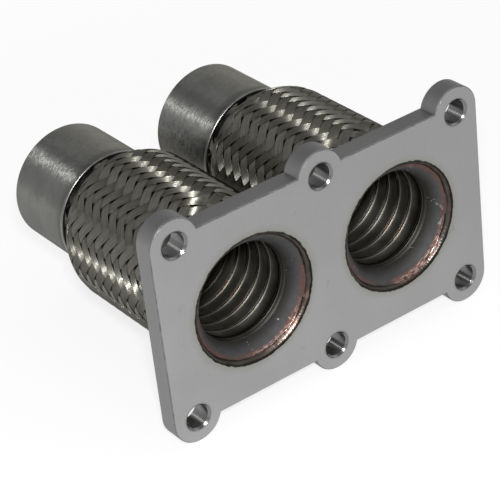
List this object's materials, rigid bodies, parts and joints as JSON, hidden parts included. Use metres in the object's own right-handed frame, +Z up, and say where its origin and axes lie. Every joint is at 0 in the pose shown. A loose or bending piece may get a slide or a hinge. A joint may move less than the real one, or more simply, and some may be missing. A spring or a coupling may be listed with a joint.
{
  "type": "exhaust flex pipe",
  "caption": "Twin braided exhaust flex pipe: side-by-side bellows hoses with interlock liners on a shared eared flange, with plain tube ends.",
  "frame": {"origin": "centre of the gasket face, midway between the two bores", "axes": "-Y out of the gasket face and +Y along the pipes towards the tube ends, +X from the left bore to the right bore, +Z up across the rows of bolt holes"},
  "size_m": [0.174, 0.145, 0.109],
  "materials": {
    "flange_steel": "satin, ground, with a faint heat tint round the bores",
    "funnel_steel": "satin, heat tinted",
    "weld_bead": "rippled weld, copper and grey oxide",
    "crimp_steel": "satin",
    "liner_steel": "dark satin strip",
    "bellows_steel": "bright rolled",
    "braid_steel": "bright rolled ribbon",
    "tube_steel": "ground lengthwise, satin"
  },
  "bodies": {
    "root": {"flange_plate": "flange_steel", "left_sleeve": "funnel_steel", "left_flange_weld": "weld_bead", "left_front_crimp_ring": "crimp_steel", "left_liner": "liner_steel", "left_bellows": "bellows_steel", "left_braid": "braid_steel", "left_rear_crimp_ring": "crimp_steel", "left_rear_weld": "weld_bead", "left_rear_tube": "tube_steel", "left_rear_collar": "tube_steel", "right_sleeve": "funnel_steel", "right_flange_weld": "weld_bead", "right_front_crimp_ring": "crimp_steel", "right_liner": "liner_steel", "right_bellows": "bellows_steel", "right_braid": "braid_steel", "right_rear_crimp_ring": "crimp_steel", "right_rear_weld": "weld_bead", "right_rear_tube": "tube_steel", "right_rear_collar": "tube_steel"}
  },
  "joints": []
}
